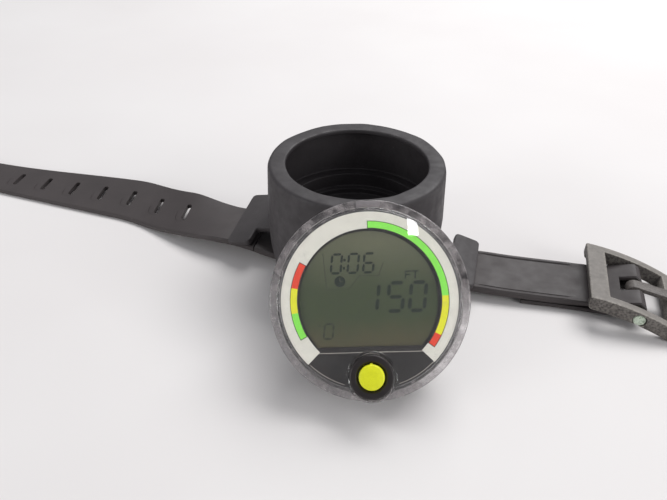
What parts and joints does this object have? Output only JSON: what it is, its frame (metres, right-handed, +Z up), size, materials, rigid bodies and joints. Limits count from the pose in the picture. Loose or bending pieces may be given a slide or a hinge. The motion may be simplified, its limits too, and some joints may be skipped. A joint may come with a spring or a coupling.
{
  "type": "wrist dive computer with boot and strap",
  "caption": "Round clear-fronted dive computer leaning on its open rubber wrist boot, with a perforated strap tail and an arched pin buckle.",
  "frame": {"origin": "middle of the boot's flat sole, on the surface that the boot stands on", "axes": "+Z up out of the boot's mouth, +X along the strap towards the buckle, the computer leans on the -Y side"},
  "size_m": [0.3787, 0.1352, 0.0639],
  "materials": {
    "boot_rubber": "matt moulded rubber, slightly chalky on the rim",
    "strap_rubber": "satin moulded rubber",
    "buckle_plastic": "worn grey plastic with pale scuffed edges",
    "pin_metal": "dull pin end",
    "clear_plastic": "clear polycarbonate with fine scratches",
    "dial_print": "silver printed ring with green, yellow and red bars and a black lower segment",
    "lcd_glass": "olive green display glass with dark segments",
    "black_plastic": "black moulded plastic",
    "case_plastic": "black moulded plastic with a fine grain",
    "contact_rubber": "layered conductive rubber",
    "board_laminate": "green laminate",
    "steel": "plain stainless steel",
    "brass": "thin brass disc",
    "seal_rubber": "black seal rubber",
    "button_yellow": "bright yellow-green moulded plastic"
  },
  "bodies": {
    "boot_body": {"boot": "boot_rubber", "strap_centre": "strap_rubber"},
    "tail_body": {"strap_tail": "strap_rubber"},
    "buckle_end_body": {"strap_buckle_end": "strap_rubber"},
    "buckle_body": {"buckle_frame": "buckle_plastic", "buckle_pin": "pin_metal"},
    "tongue_body": {"buckle_tongue": "buckle_plastic"},
    "computer_body": {"front_housing": "clear_plastic", "dial_plate": "dial_print", "lcd_panel": "lcd_glass", "lcd_holder": "black_plastic", "zebra_strip_upper": "contact_rubber", "zebra_strip_lower": "contact_rubber", "circuit_board": "board_laminate", "processor_chip": "black_plastic", "depth_sensor": "steel", "piezo_sounder": "brass", "push_switch": "black_plastic", "case_oring": "seal_rubber", "rear_case": "case_plastic", "battery_contact_front": "steel", "battery_contact_side": "steel", "battery_cell": "steel", "board_screw_1": "steel", "board_screw_2": "steel", "board_screw_3": "steel", "button_bezel": "black_plastic", "button_spring": "steel", "button_oring": "seal_rubber"},
    "button_body": {"button_cap": "button_yellow", "button_stem": "steel", "button_clip": "steel"},
    "battery_cap_body": {"battery_cap": "case_plastic", "battery_cap_oring": "seal_rubber"}
  },
  "joints": [
    {"name": "computer_lift", "type": "slide", "parent": "boot_body", "child": "computer_body", "axis": [0, 0, 1], "range_m": [0, 0.12]},
    {"name": "button_press", "type": "slide", "parent": "computer_body", "child": "button_body", "axis": [-0.1243, 0.7733, -0.6217], "range_m": [0, 0.0008], "stiffness_N_per_m": 900, "springref_m": -0.0006, "deforming": ["button_spring"]},
    {"name": "battery_cap_turn", "type": "hinge", "parent": "computer_body", "child": "battery_cap_body", "pos_m": [0.01709, -0.05367, 0.02306], "axis": [0.1243, -0.7733, 0.6217], "range_deg": [0, 60]},
    {"name": "tail_bend", "type": "hinge", "parent": "boot_body", "child": "tail_body", "pos_m": [-0.06, 0, 0.0082], "axis": [0, -1, 0], "range_deg": [-40, 80], "stiffness_Nm_per_rad": 0.5},
    {"name": "buckle_end_bend", "type": "hinge", "parent": "boot_body", "child": "buckle_end_body", "pos_m": [0.06, 0, 0.0044], "axis": [0, 1, 0], "range_deg": [-40, 80], "stiffness_Nm_per_rad": 0.5},
    {"name": "buckle_swing", "type": "hinge", "parent": "buckle_end_body", "child": "buckle_body", "pos_m": [0.1235, -0.0018, 0.0075], "axis": [0, 1, 0], "range_deg": [-8, 60]},
    {"name": "tongue_swing", "type": "hinge", "parent": "buckle_body", "child": "tongue_body", "pos_m": [0.1235, -0.0011, 0.0075], "axis": [0, -1, 0], "range_deg": [0, 100]}
  ]
}
